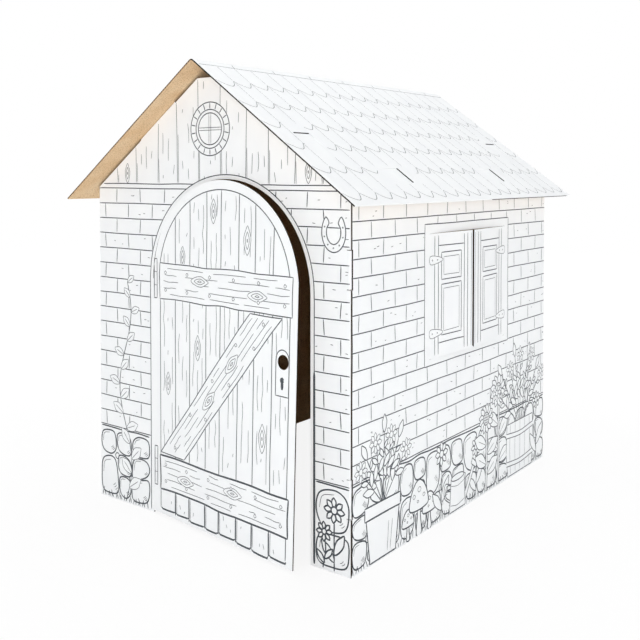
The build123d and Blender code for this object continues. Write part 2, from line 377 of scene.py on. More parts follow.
def uncovered(track, covers):
    """The stretches of a pen line that lie outside the shapes drawn over it."""
    left, foot, right, head = box_of(track)
    near = []
    for outline, (low_u, low_v, high_u, high_v) in covers:
        if low_u < right and left < high_u and low_v < head and foot < high_v:
            near.append(outline)
    stretches, stretch = [], []
    last, last_covered = track[0], inside(track[0], near)
    for point in track:
        covered = inside(point, near)
        if covered != last_covered:
            seen, lost = (last, point) if covered else (point, last)
            for halving in range(EDGE_HALVINGS):
                middle = (seen + lost) / 2
                if inside(middle, near):
                    lost = middle
                else:
                    seen = middle
            stretch.append(seen)
        if not covered:
            stretch.append(point)
        elif stretch:
            stretches.append(stretch)
            stretch = []
        last, last_covered = point, covered
    return [run for run in stretches + [stretch] if len(run) > 1]


def thinned(run):
    """The same line without the points that lie on the straight between their neighbours."""
    if len(run) < 6:
        return run
    kept = [run[0], run[2]]
    for point, after in zip(run[3:-3], run[4:-2]):
        chord = after - kept[-1]
        if chord.length > LONGEST_CHORD or abs(chord.cross(point - kept[-1])) > FLAT_ENOUGH * chord.length:
            kept.append(point)
    return kept + [run[-3], run[-1]]


def flat_panel(origin, across, up):
    """How to find a point of a flat panel from its place across, its place up and its height on it."""
    turn = Matrix((across, up, Vector(across).cross(Vector(up)))).transposed()
    return lambda u, v, height: (Vector(origin) + turn @ Vector((u, v, height))) * MM


def print_panel(name, drawing, where, finish, slot):
    """Prints a drawing on a panel of the house, as flat strips of a finish."""
    lines = bpy.data.curves.new(name, "CURVE")
    lines.dimensions = "3D"
    lines.twist_mode = "Z_UP"
    lines.bevel_depth = 0.5  # makes a point's radius the width of the line
    lines.bevel_resolution = 0
    lines.use_fill_caps = True
    for track, width, closed, order in drawing["strokes"]:
        for run in uncovered(track, drawing["covers"][order:]):
            points = thinned(run)
            ring = closed and points[0] == points[-1]
            spline = lines.splines.new("POLY")
            spline.points.add(len(points) - 1)
            for place, (u, v) in enumerate(points):
                at_end = place in (0, len(points) - 1) and not ring
                spline.points[place].co = (u, v, 0, 1)
                spline.points[place].radius = width * (PEN_POINT if at_end else 1.0)
    piece = bpy.data.objects.new(name, lines)
    bpy.context.scene.collection.objects.link(piece)
    bpy.ops.object.select_all(action="DESELECT")
    piece.select_set(True)
    bpy.context.view_layer.objects.active = piece
    bpy.ops.object.convert(target="MESH")
    for vertex in piece.data.vertices:
        u, v, height = vertex.co
        vertex.co = where(u, v, INK_LIFT + height * INK_FLATNESS)
    piece.data.materials.append(finish)
    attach(piece, "root")


def print_wall(name, drawing, corner, across, width):
    """Prints a drawing on a wall from its lower left corner, cut off past its sides and its foot."""
    far, edge = 2 * GABLE_TOP, EDGE_MARGIN / 2
    for left, right, high in ((-far, edge, far), (width - edge, far, far), (-far, far, edge)):
        mask(drawing, box(left, right, -far, high))
    print_panel(name, drawing, flat_panel(corner, across, UP), *INK)


def oval(centre, half_width, half_height, unevenness=0.0, count=12):
    """Points round an oval, which may be uneven."""
    points = []
    for step in range(count):
        angle = TURN * step / count
        reach = 1 + stray(unevenness)
        side, rise = half_width * math.cos(angle) * reach, half_height * math.sin(angle) * reach
        points.append((centre[0] + side, centre[1] + rise))
    return points


def leaf(base, angle, length, width):
    """The outline of a pointed leaf or petal that grows from base at this angle in degrees."""
    along = (math.cos(math.radians(angle)), math.sin(math.radians(angle)))
    one_side = [(0.25, 0.38), (0.6, 0.5), (0.88, 0.2)]
    other_side = [(reach, -side) for reach, side in one_side[::-1]]
    points = []
    for reach, side in [(0, 0)] + one_side + [(1, 0)] + other_side:
        u = base[0] + along[0] * reach * length - along[1] * side * width
        v = base[1] + along[1] * reach * length + along[0] * side * width
        points.append((u, v))
    return points


def bricks(drawing, width, bottom, rows, course, brick):
    """Running bond: course lines, joints that stop short of them, and a few specks."""
    for row in range(rows + 1):
        v = bottom + row * course
        rule(drawing, (EDGE_MARGIN, v), (width - EDGE_MARGIN, v))
    for row in range(rows):
        v = bottom + row * course
        u = brick * (0.3 + row % 2 / 2)
        while u < width - BRICK_END:
            lean = stray(1.5)
            pen(drawing, [(u + lean, v + 3), (u - lean, v + course - 2)])
            for speck in range(hand.choice((0, 0, 1, 2))):
                mark_u = min(u + hand.uniform(12, brick - BRICK_END), width - BRICK_END)
                mark_v = v + hand.uniform(8, course - 8)
                pen(drawing, [(mark_u, mark_v), (mark_u + hand.uniform(4, 9), mark_v + stray(1.5))], FINE)
            u += brick


def stone(drawing, corners):
    """One rubble stone: a round outline in its four corners, with a light and a shaded side."""
    middle = between(between(corners[0], corners[2], 0.5), between(corners[1], corners[3], 0.5), 0.5)
    outline = []
    for start, end in zip(corners, corners[1:] + corners[:1]):
        outline.append(between(start, middle, 0.26 + stray(0.08)))
        outline.append(between(between(start, end, 0.5 + stray(0.12)), middle, 0.07))
    shape(drawing, outline, BOLD)
    pen(drawing, [between(point, middle, 0.2) for point in outline[5:8]], FINE)
    for hatch in range(hand.randint(2, 4)):
        u, v = between(outline[2], middle, 0.16 + 0.13 * hatch)
        pen(drawing, [(u - 5, v - 1), (u, v + 1), (u + 4, v + 6)], FINE)


def stones(drawing, left, right, top):
    """Rubble plinth: uneven piles of fitted stones with pebbles between them, under a ledge."""
    count = max(1, round((right - left) / STONE))
    joints = []
    for place in range(count + 1):
        loose = 12.0 if 0 < place < count else 0.0
        u = left + (right - left) * place / count
        joints.append(((u + stray(loose), 8.0), (u + stray(loose), top)))
    for near, far in zip(joints, joints[1:]):
        heights = [(0.0, 0.0)]
        for part in hand.choice(((0.38,), (0.6,), (0.3, 0.68), (0.36, 0.64))):
            heights.append((part + stray(0.06), part + stray(0.06)))
        heights.append((1.0, 1.0))
        for low, high in zip(heights, heights[1:]):
            foot = [between(*near, low[0]), between(*far, low[1])]
            stone(drawing, foot + [between(*far, high[1]), between(*near, high[0])])
        if far is not joints[-1]:
            shape(drawing, oval(between(*far, heights[1][1]), 7, 8, 0.12, count=8))
    ledge = [(u, top + 5 + stray(2.5)) for u in range(int(left) + 3, int(right) - 30, 45)]
    pen(drawing, ledge + [(right - EDGE_MARGIN, top + 5)], BOLD)


def grass(drawing, left, right):
    """Tufts of grass along the foot of a wall."""
    u = left + 6
    while u < right - 10:
        height = hand.uniform(12, 26)
        lean = hand.uniform(-7, 7)
        pen(drawing, [(u, 3), (u + lean * 0.4, height * 0.6), (u + lean, height)])
        u += hand.uniform(5, 14)


def grain(drawing, left, right, bottom, top, spacing, lengths):
    """Broken, wandering lines of wood grain that run up a plank."""
    lanes = max(1, round((right - left) / spacing))
    for lane in range(lanes):
        u = left + (lane + 0.5) * (right - left) / lanes
        v = bottom + hand.uniform(0, 60)
        while v < top - 10:
            length = min(hand.choice(lengths) * hand.uniform(0.8, 1.2), top - v)
            steps = max(1, round(length / 25))
            pen(drawing, [(u + stray(2.2), v + length * step / steps) for step in range(steps + 1)], FINE)
            v += length + hand.uniform(2, 6) * spacing


def knot(drawing, centre, height):
    """A knot in wood: an eye within an eye, with the grain parting round it."""
    u, v = centre
    shape(drawing, leaf((u, v - height / 2), 90, height, height * 0.34), FINE)
    pen(drawing, leaf((u, v - height * 0.3), 90, height * 0.6, height * 0.18), FINE, True)
    pen(drawing, oval(centre, 1.2, height / 16, count=8), FINE, True)


def daisy(drawing, centre, radius, petals, width):
    """An open flower: petals round an eye."""
    for petal in range(petals):
        angle = 360 * petal / petals + stray(6)
        root = on_oval(centre, radius * 0.25, radius * 0.25, math.radians(angle))
        shape(drawing, leaf(root, angle, radius * 0.75, radius * 0.44), width)
    shape(drawing, oval(centre, radius * 0.3, radius * 0.3), width)


def flower(drawing, foot, height, radius, width=LINE):
    """A daisy on its stem, with a leaf to each side."""
    u, v = foot
    sway = stray(8)
    pen(drawing, [foot, (u + sway, v + height / 2), (u + sway / 2, v + height)], width)
    for side in (-1, 1):
        start = (u + sway * 0.6, v + height * (0.2 + 0.06 * side))
        shape(drawing, leaf(start, 90 - side * (36 + stray(8)), height * 0.42, height * 0.15), width)
    daisy(drawing, (u + sway / 2, v + height), radius, 8, width)


def vine(drawing, foot, height, sway, leaf_length):
    """A climbing stem that sways, with leaves to the left and right by turns."""
    count = round(height / (leaf_length * 0.8))
    parts = [step / count for step in range(count + 1)]
    stem = [(foot[0] + sway * math.sin(part * 9), foot[1] + height * part) for part in parts]
    pen(drawing, stem)
    for step in range(1, count + 1):
        size = leaf_length * (1.15 - 0.5 * step / count)
        angle = 35 + stray(15) if step % 2 else 145 + stray(15)
        shape(drawing, leaf(stem[step], angle, size, size * 0.55), FINE)
        vein = size * 0.75
        pen(drawing, [stem[step], on_oval(stem[step], vein, vein, math.radians(angle))], FINE)


def gable_edge(u):
    """The height of the gable's sloping edge above this place."""
    return min(WALL_TOP + min(u, GABLE_WIDTH - u) * math.tan(ROOF_PITCH), GABLE_TOP)


def gable_wall(drawing):
    """Brickwork up to a moulding at the level of the eaves, and upright planks over it."""
    bricks(drawing, GABLE_WIDTH, PLINTH + LEDGE, COURSES, COURSE, BRICK)
    foot = WALL_TOP + MOULDING
    rule(drawing, (MOULDING_INSET, foot), (GABLE_WIDTH - MOULDING_INSET, foot))
    count = int(GABLE_WIDTH / GABLE_PLANK)
    margin = (GABLE_WIDTH - count * GABLE_PLANK) / 2
    for joint in range(count + 1):
        u = margin + joint * GABLE_PLANK + stray(4)
        high = gable_edge(u) - 4
        if high - foot > 12:
            rule(drawing, (u, foot + 3), (u + stray(3), high), GABLE_PEN)
            rule(drawing, (u + 4, foot + 3), (u + 3, foot + (high - foot) * hand.uniform(0.3, 0.7)), FINE)
        left, right = u + 9, min(u + GABLE_PLANK - 7, GABLE_WIDTH - 12)
        high = min(gable_edge(left), gable_edge(right)) - 8
        if high - foot > 40:
            grain(drawing, left, right, foot + 6, high, 20, (9, 22, 50))
            if joint % 4 == 1:
                knot(drawing, ((left + right) / 2, foot + (high - foot) * hand.uniform(0.55, 0.75)), 50)


INK = (printing_ink(), "printed_line")
front = new_drawing()
gable_wall(front)
trim = [(DOOR_MIDDLE - TRIM_RADIUS, v) for v in range(6, 581, 82)]
trim += half_round((DOOR_MIDDLE, DOOR_SPRINGING), TRIM_RADIUS, TRIM_RADIUS, 18)
trim += [(DOOR_MIDDLE + TRIM_RADIUS, v) for v in range(498, 0, -82)]
mask(front, trim)
pen(front, trim)
pen(front, trim[-6:], JAMB_PEN)
stones(front, EDGE_MARGIN, DOOR_MIDDLE - TRIM_RADIUS - 4, PLINTH)
stones(front, DOOR_MIDDLE + TRIM_RADIUS + 2, GABLE_WIDTH - 1, PLINTH)
grass(front, EDGE_MARGIN, DOOR_MIDDLE - TRIM_RADIUS)
vine(front, (100, 4), 560, 22, 46)
flower(front, (758, 4), 128, 27, BOLD)
flower(front, (728, 4), 78, 21, BOLD)

# A round attic window in a ring of bricks, with four panes
ATTIC = (400.0, 942.0)
ATTIC_RADIUS, ATTIC_FRAME, ATTIC_PANES = 62.0, 45.0, 37.0
ATTIC_BRICKS = 18
shape(front, oval(ATTIC, ATTIC_RADIUS, ATTIC_RADIUS, count=24))
for step in range(ATTIC_BRICKS):
    angle = TURN * (step + 0.5) / ATTIC_BRICKS
    pen(front, [on_oval(ATTIC, reach, reach, angle) for reach in (ATTIC_FRAME + 2, ATTIC_RADIUS - 2)])
for radius in (ATTIC_FRAME, ATTIC_PANES):
    shape(front, oval(ATTIC, radius, radius, count=20))
bar = ATTIC_PANES - 1
for offset in (-3, 3):
    pen(front, [(ATTIC[0] + offset, ATTIC[1] - bar), (ATTIC[0] + offset, ATTIC[1] + bar)], FINE)
    pen(front, [(ATTIC[0] - bar, ATTIC[1] + offset), (ATTIC[0] + bar, ATTIC[1] + offset)], FINE)

# A horseshoe hangs beside the door, with its open end up
SHOE = (756.0, 716.0)
bends = [math.radians(130 + 28 * step) for step in range(11)]
shoe = [on_oval(SHOE, 31, 42, angle) for angle in bends]
shoe += [on_oval(SHOE, 31 * 0.6, 42 * 0.6, angle) for angle in bends[::-1]]
shape(front, shoe)
for step in range(7):
    angle = math.radians(160 + 36.5 * step)
    pen(front, oval(on_oval(SHOE, 25, 33, angle), 1.6, 1.6, count=6), FINE, True)
print_wall("front_gable_print", front, (-HALF_WIDTH, -HALF_DEPTH, 0), (1, 0, 0), GABLE_WIDTH)

# Drawing on the door leaf
# The leaf is cut in the gable, swings on a scored fold and is twisted a little. It is drawn as upright
# planks with two ledges and a brace nailed across them, and a lock plate round the finger hole.
HEAVY = 4.3  # pen width for the foot of the door
DOOR_HINGE = Vector((-195.0, -492.0, 0.0))
LEAF_FOOT, LEAF_TOP = 5.0, 826.0
LEAF_ANGLES = (math.radians(6.5), math.radians(3.4))  # how far it is open at its foot and its top
LEAF_WIDTH = 488.0
PLANK_LEFT = 28.0
PLANK_BOTTOM = 14.0
PLANK_MIDDLE = LEAF_WIDTH / 2 + 1
PLANK_ARCH = 221.0
PLANK_JOINTS = (28.0, 86.0, 139.0, 197.0, 246.0, 306.0, 358.0, 414.0, 470.0)
FINGER_HOLE = (446.0, 437.0)
LOW_LEDGE = (68.0, 150.0)
HIGH_LEDGE = (535.0, 620.0)
LEDGE_ENDS = (26.0, 472.0)
DOOR_KNOTS = ((220, 752, 58), (332, 690, 66), (168, 430, 60), (388, 262, 64), (112, 640, 52), (58, 330, 56))
BARREL = 96.0  # height of a drawn hinge


def timber(drawing, low_edge, high_edge, nails, knots, width):
    """A nailed timber between two long edges, with rough ends, wandering grain and knots."""
    low, high = [
        shaky([between(*edge, step / 8) for step in range(9)], 1.2, 2.2) for edge in (low_edge, high_edge)
    ]
    mask(drawing, low + high[::-1])
    pen(drawing, low, width)
    pen(drawing, high, width)
    for side in (0, -1):
        middle = between(low[side], high[side], hand.uniform(0.35, 0.65))
        pen(drawing, [low[side], (middle[0] + stray(2.5), middle[1] + stray(1)), high[side]], width)

    def spot(along, lane):
        return between(between(*low_edge, along), between(*high_edge, along), lane)

    for lane in (0.14, 0.32, 0.5, 0.68, 0.86):
        along = hand.uniform(0.02, 0.1)
        while along < 0.93:
            reach = min(hand.uniform(0.04, 0.3), 0.98 - along)
            points = [spot(along + reach * step / 3, lane) for step in range(4)]
            pen(drawing, shaky(points, 0.8, 1.4), FINE)
            along += reach + hand.uniform(0.03, 0.12)
    tilt = math.degrees(math.atan2(low_edge[1][1] - low_edge[0][1], low_edge[1][0] - low_edge[0][0]))
    for along, lane in knots:
        for length, breadth in ((62, 24), (38, 13), (14, 4)):
            start = on_oval(spot(along, lane), -length / 2, -length / 2, math.radians(tilt))
            shape(drawing, leaf(start, tilt, length, breadth), FINE)
    for along, lane in nails:
        shape(drawing, oval(spot(along, lane), 4, 4, count=8), FINE)


def plank_top(u):
    """The height of the arched line round the door's planks."""
    return DOOR_SPRINGING + math.sqrt(max(0.0, PLANK_ARCH ** 2 - (u - PLANK_MIDDLE) ** 2))


door = new_drawing()
for left, right in zip(PLANK_JOINTS, PLANK_JOINTS[1:]):
    highest = min(plank_top(left + 8), plank_top(right - 8)) - 8
    grain(door, left + 6, right - 4, LOW_LEDGE[1] + 4, highest, 17, (10, 30, 70, 120))
    grain(door, left + 10, right - 10, PLANK_BOTTOM + 8, LOW_LEDGE[0] - 4, 14, (7, 11))
    base = PLANK_BOTTOM + stray(4)
    end = [(left + 2, base + 3), (left + 4, base), (right - 4, base + stray(2)), (right - 2, base + 3)]
    pen(door, end, HEAVY)
    if left > PLANK_LEFT:
        rule(door, (left, PLANK_BOTTOM), (left + stray(1), LOW_LEDGE[0]), HEAVY)
        rule(door, (left + 5, PLANK_BOTTOM + 4), (left + 4, LOW_LEDGE[0]), FINE)
        rule(door, (left, LOW_LEDGE[1]), (left + stray(1), plank_top(left) - 1))
for u, v, height in DOOR_KNOTS:
    knot(door, (u, v), height)
arch = [(PLANK_LEFT, v) for v in range(20, 581, 70)]
arch += half_round((PLANK_MIDDLE, DOOR_SPRINGING), PLANK_ARCH, PLANK_ARCH, 16)
arch += [(PLANK_MIDDLE + PLANK_ARCH, v) for v in range(510, 19, -70)]
pen(door, arch)
ledge_nails = [(0.05 + 0.18 * step, lane) for step in range(6) for lane in (0.25, 0.75)]
for (low, high), knots, width in (
    (HIGH_LEDGE, ((0.33, 0.6), (0.76, 0.4)), LINE),
    (LOW_LEDGE, ((0.22, 0.45), (0.6, 0.62)), HEAVY),
):
    lower, upper = [[(end, edge) for end in LEDGE_ENDS] for edge in (low, high)]
    timber(door, lower, upper, ledge_nails, knots, width)
brace_nails = [(0.06, 0.6)] + [(along, lane) for along in (0.3, 0.55, 0.8) for lane in (0.2, 0.8)]
brace_nails.append((0.95, 0.4))
brace_low, brace_high = ((120, 156), (442, 529)), ((29, 156), (343, 529))
timber(door, brace_low, brace_high, brace_nails, ((0.42, 0.5), (0.68, 0.55)), LINE)

hole_u, hole_v = FINGER_HOLE
plate_half, plate_foot = 19.5, hole_v - 73
plate = [(hole_u - plate_half, plate_foot), (hole_u - plate_half, hole_v + 2)]
plate += half_round((hole_u, hole_v + 4), plate_half, 22, 8)[1:-1]
plate += [(hole_u + plate_half, hole_v + 2), (hole_u + plate_half, plate_foot)]
mask(door, plate)
pen(door, plate)
pen(door, [plate[0], plate[-1]])
keyhole = (hole_u, plate_foot + 34)
pen(door, oval(keyhole, 3.4, 3.4, count=8), 7.0, True)
pen(door, [keyhole, (keyhole[0], keyhole[1] - 10), (keyhole[0], keyhole[1] - 20)], 8.0)
for low in (72, 534):
    shape(door, box(4, 15, low, low + BARREL), LINE, True)
    for part in (0.33, 0.67):
        pen(door, [(4, low + BARREL * part), (15, low + BARREL * part)], FINE)

wall_surface = surface_of(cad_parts["front_left_walls"])


def on_leaf(u, v, height):
    """A point of the twisted leaf, from its place across, its place up and its height on it."""
    part = (v - LEAF_FOOT) / (LEAF_TOP - LEAF_FOOT)
    foot_way, top_way = [Vector((math.cos(angle), -math.sin(angle), 0)) for angle in LEAF_ANGLES]
    across = foot_way.lerp(top_way, part)
    up = Vector(UP)
    out = across.cross(up).normalized()
    place = (DOOR_HINGE + across * u + up * v) * MM
    met = wall_surface.ray_cast(place + out * 3 * BOARD, -out, 3 * BOARD)[0]
    return (met or place + out * BOARD) + out * height * MM


print_panel("door_leaf_print", door, on_leaf, *INK)

# Drawing on the right wall
# Brickwork round a framed window, over rubble stones with pots and plants in front of them, printed
# in the same ink on the white liner of the second wall sheet.
WALL_COURSE, WALL_COURSES = 39.0, 15
WALL_BRICK = 94.0
WALL_PLINTH = 182.0
WINDOW_FRAME = (297.0, 742.0, 386.0, 720.0)  # left, right, foot and head


def side_masonry(drawing):
    """Brickwork over rubble stones and grass, along a side wall."""
    bricks(drawing, WALL_LENGTH, WALL_PLINTH + LEDGE, WALL_COURSES, WALL_COURSE, WALL_BRICK)
    stones(drawing, EDGE_MARGIN, WALL_LENGTH - EDGE_MARGIN, WALL_PLINTH)
    grass(drawing, EDGE_MARGIN, WALL_LENGTH - EDGE_MARGIN)


def placed(points, middle, across=1.0, up=1.0):
    """A figure's points, given from its own middle and foot, at their place and size on a panel."""
    return [(middle + u * across, v * up) for u, v in points]


def flower_pot(drawing, middle, width, height):
    """A clay pot with a rolled rim."""
    rim = height * 0.22
    body = [(-0.36, 4), (0.36, 4), (0.46, height - rim), (-0.46, height - rim)]
    for part in (body, box(-0.5, 0.5, height - rim, height)):
        shape(drawing, placed(part, middle, width), BOLD, True)
    for part in (0.2, 0.12):
        pen(drawing, [(middle + part * width, 12), (middle + part * 1.35 * width, height * 0.6)], FINE)


def bush(drawing, foot, stems, length, spread):
    """Leafy stems that fan out from one place, every other one with a flower on top."""
    for stem in range(stems):
        lean = stem / (stems - 1) - 0.5
        angle = 90 + spread * lean + stray(3)
        reach = length * (1 - 0.25 * abs(lean)) + stray(14)
        tip = on_oval(foot, reach, reach, math.radians(angle))
        pen(drawing, [foot, between(foot, tip, 0.5), tip])
        for part, side in ((0.4, 42), (0.52, -42), (0.66, 42), (0.78, -42)):
            spot = between(foot, tip, part)
            shape(drawing, leaf(spot, angle + side, 54 * (1.2 - part), 22 * (1.2 - part)))
        if stem % 2:
            shape(drawing, leaf(tip, angle, 40, 18))
        else:
            daisy(drawing, tip, 24, 8, FINE)


def watering_can(drawing, left):
    """A plain watering can, with its spout to the right."""
    spout = [(64, 22), (74, 12), (128, 92), (118, 98)]
    rose = [(108, 100), (134, 84), (142, 92), (116, 112)]
    for part in (spout, rose):
        shape(drawing, placed(part, left), LINE, True)
    for reach in (0, 7):
        grip = [(4, 74), (-26 + reach, 82 - reach), (-30 + reach, 52), (-2, 30 + reach)]
        pen(drawing, placed(grip, left))
    body = [(-4, 5), (78, 5), (70, 86), (4, 86)]
    shape(drawing, placed(body, left), LINE, True)
    shape(drawing, oval((left + 37, 86), 33, 8))
    for v in (22, 70):
        pen(drawing, [(left + 0.05 * v, v), (left + 37, v - 6), (left + 74 - 0.05 * v, v)], FINE)


def mushroom(drawing, middle, height, cap):
    """A toadstool: a waisted stalk under a round spotted cap."""
    waist, neck = height * 0.4, height * 0.7
    stalk = [(-0.26, 4), (0.26, 4), (0.16, waist), (0.2, neck), (-0.2, neck), (-0.16, waist)]
    shape(drawing, placed(stalk, middle, cap), BOLD)
    dome = [(-1, 0.56), (-0.86, 0.8), (-0.45, 1.0), (0, 1.07), (0.45, 1.0), (0.86, 0.8), (1, 0.56)]
    shape(drawing, placed(dome + [(0.5, 0.5), (-0.5, 0.5)], middle, cap, height), BOLD)
    for side, part, size in ((-0.5, 0.78, 0.14), (0.05, 0.88, 0.17), (0.55, 0.74, 0.13), (-0.1, 0.66, 0.1)):
        centre = (middle + side * cap, part * height)
        pen(drawing, oval(centre, size * cap, size * cap * 0.8, 0.05, count=8), FINE, True)


def sunflower(drawing, middle, height, radius):
    """A tall flower with a thick stem, broad leaves and a hatched eye."""
    waist = height * 0.5
    stem = [(-4, 5), (4, 5), (7, waist), (4, height), (-2, height), (-1, waist)]
    shape(drawing, placed(stem, middle))
    for side, part in ((1, 0.25), (-1, 0.38), (1, 0.52), (-1, 0.64)):
        start = (middle + 3 + side * 3, height * part)
        angle = 90 - side * (58 + stray(8))
        shape(drawing, leaf(start, angle, 70, 36))
        pen(drawing, [start, on_oval(start, 46, 46, math.radians(angle))], FINE)
    daisy(drawing, (middle, height), radius, 13, LINE)
    eye = radius * 0.42
    shape(drawing, oval((middle, height), eye, eye))
    for step in (-0.6, -0.2, 0.2, 0.6):
        half = eye * math.sqrt(1 - step ** 2) * 0.9
        pen(drawing, [(middle - half, height + eye * step), (middle + half, height + eye * step)], FINE)
        pen(drawing, [(middle + eye * step, height - half), (middle + eye * step, height + half)], FINE)


def tub(drawing, middle):
    """A half barrel for plants, with staves and two double hoops."""
    sides = [(-78, 4), (78, 4), (88, 70), (84, 148), (-84, 148), (-88, 70)]
    shape(drawing, placed(sides, middle), LINE, True)
    for stave in range(-2, 3):
        pen(drawing, [(middle + stave * 30, 8), (middle + stave * 33, 76), (middle + stave * 31, 146)], FINE)
    for v in (34, 112):
        edges = [(-87, v), (0, v - 7), (87, v), (87, v + 12), (0, v + 5), (-87, v + 12)]
        hoop = placed(edges, middle)
        mask(drawing, hoop)
        pen(drawing, hoop[:3])
        pen(drawing, hoop[3:])


right = new_drawing()
side_masonry(right)
shape(right, box(*WINDOW_FRAME), LINE, True)
bush(right, (122, 120), 7, 150, 84)
flower_pot(right, 122, 142, 128)
for middle, height, cap in ((226, 70, 26), (322, 84, 32), (274, 122, 42)):
    mushroom(right, middle, height, cap)
flower(right, (378, 5), 158, 30)
flower(right, (556, 5), 132, 26)
watering_can(right, 424)
sunflower(right, 686, 258, 46)
sunflower(right, 616, 196, 40)
bush(right, (826, 130), 9, 210, 96)
tub(right, 826)
flower(right, (936, 5), 176, 26)
print_wall("right_wall_print", right, (HALF_WIDTH, -HALF_DEPTH, 0), (0, 1, 0), WALL_LENGTH)

# Drawing on the shutters
# A pair of leaves cut in the right wall, each left on a scored fold. They are drawn as framed
# shutters with a small panel over a tall one and two strap hinges.
SHUTTER_ANGLE = math.radians(3.0)
SHUTTER_WIDTH, SHUTTER_HEIGHT = 196.0, 295.2
SHUTTER_FOOT = 402.1
SHUTTER_HINGES = (-175.0, 225.0)  # from the middle of the wall


def shutter_drawing(mirrored):
    """One leaf as seen from outside, from its hinge on the left, or mirrored."""
    drawing = new_drawing()

    def side(u):
        return SHUTTER_WIDTH - u if mirrored else u

    for u in (22, 38, 156, 172):
        rule(drawing, (side(u), 6), (side(u), SHUTTER_HEIGHT - 6))
    rule(drawing, (side(190), 6), (side(190), SHUTTER_HEIGHT - 6), FINE)
    for v in (33, 265):
        rule(drawing, (side(38), v), (side(156), v))
    for foot, head in ((50, 172), (184, 248)):
        for inset, width in ((0, LINE), (10, FINE)):
            panel = box(side(52 + inset), side(142 - inset), foot + inset, head - inset)
            shape(drawing, panel, width, True)
    for v in (58, 232):
        strap = [(2, v - 9), (40, v - 7), (58, v), (40, v + 7), (2, v + 9)]
        shape(drawing, [(side(u), rise) for u, rise in strap], FINE)
        for u in (12, 34):
            pen(drawing, oval((side(u), v), 2, 2, count=6), FINE, True)
    return drawing


for name, way, hinge_y in zip(("front", "back"), (1, -1), SHUTTER_HINGES):
    mirrored = way < 0
    across = Vector((way * math.sin(SHUTTER_ANGLE), math.cos(SHUTTER_ANGLE), 0))
    outward = across.cross(Vector(UP))
    corner = Vector((HALF_WIDTH - BOARD / MM, hinge_y, SHUTTER_FOOT)) + outward * (BOARD / MM)
    if mirrored:
        corner -= across * SHUTTER_WIDTH
    shutter = flat_panel(corner, across, UP)
    print_panel(name + "_shutter_print", shutter_drawing(mirrored), shutter, *INK)

# Drawing on the left wall and the back gable
# The two sides away from the door carry the same brickwork, stones and planks in the same ink, with
# nothing else.
left_wall = new_drawing()
side_masonry(left_wall)
print_wall("left_wall_print", left_wall, (-HALF_WIDTH, HALF_DEPTH, 0), (0, -1, 0), WALL_LENGTH)

back = new_drawing()
gable_wall(back)
stones(back, EDGE_MARGIN, GABLE_WIDTH - EDGE_MARGIN, PLINTH)
grass(back, EDGE_MARGIN, GABLE_WIDTH - EDGE_MARGIN)
print_wall("back_gable_print", back, (HALF_WIDTH, HALF_DEPTH, 0), (-1, 0, 0), GABLE_WIDTH)

# Drawing on the roof
# Rows of round-ended tiles with a capped ridge on both slopes. The lock tabs and the board just past
# their tips are left white.
RIDGE_HEIGHT = 1100.0
SLOPE_LENGTH = 556.6
ROOF_LENGTH = 1110.0
EAVE_REACH = SLOPE_LENGTH * math.cos(ROOF_PITCH)
EAVE_HEIGHT = RIDGE_HEIGHT - SLOPE_LENGTH * math.sin(ROOF_PITCH)
TILE = 58.0
HAIR = 0.9  # pen width for the joints between tiles
TILE_ROWS = (17.0, 110.0, 196.0, 277.0, 358.0, 442.0)  # lowest points, up from the eaves
TILE_DROP = 24.0
TILE_END = ((0, 1), (0.18, 0.5), (0.42, 0.1), (0.62, 0.0), (0.82, 0.4), (1, 1))  # in proportion
RIDGE_CAP = 532.0
TAB = 56.0  # width of a lock tab
TAB_MARGIN = 6.0  # left white round it
TAB_SHADE = 2.4  # width of the painted shade past the tip at the eaves, and half as wide at the gables
GABLE_TABS = (98.0, 1012.0)  # middles of the tabs at the gables, along the ridge
GABLE_TAB_TIP = 261.4  # just past their tips, up from the eaves
EAVE_TABS = 101.6  # middles of the tabs at the eaves, up from there
EAVE_TAB_TIPS = (320.0, 795.0)  # just past their tips, along the ridge
GABLE_WHITE = (168.0, 300.0)  # left white along the tabs at the gables, up from the eaves
EAVE_WHITE = (94.0, 60.0)  # and before and past the tips at the eaves
# the darkest edge finish, for the flat strips of painted shade below
PAINTED_SHADE = (shaded_edge, "raw_board")
half_white = TAB / 2 + TAB_MARGIN
white_places = [box(middle - half_white, middle + half_white, *GABLE_WHITE) for middle in GABLE_TABS]
for tip in EAVE_TAB_TIPS:
    across = (tip - EAVE_WHITE[0], tip + EAVE_WHITE[1])
    white_places.append(box(*across, EAVE_TABS - half_white, EAVE_TABS + half_white))


def tile_drawing():
    """One slope of tiles, from the eaves up."""
    drawing = new_drawing()
    for low, above in zip(TILE_ROWS, TILE_ROWS[1:] + (RIDGE_CAP - TILE_DROP,)):
        u = EDGE_MARGIN
        while u < ROOF_LENGTH - 20:
            width = min(TILE, ROOF_LENGTH - EDGE_MARGIN - u)
            end = [(u + part * width, low + rise * TILE_DROP) for part, rise in TILE_END]
            pen(drawing, shaky(end), FINE)
            if u + width < ROOF_LENGTH - 8:
                rule(drawing, (u + width, low + TILE_DROP + 2), (u + width, above + TILE_DROP - 2), HAIR)
            u += TILE
    rule(drawing, (EDGE_MARGIN, RIDGE_CAP), (ROOF_LENGTH - EDGE_MARGIN, RIDGE_CAP), FINE)
    for joint in range(1, 8):
        u = joint * 148 - 25
        pen(drawing, [(u, RIDGE_CAP), (u + 3, SLOPE_LENGTH - 10)], FINE)
    for place in white_places:
        mask(drawing, place)
    return drawing


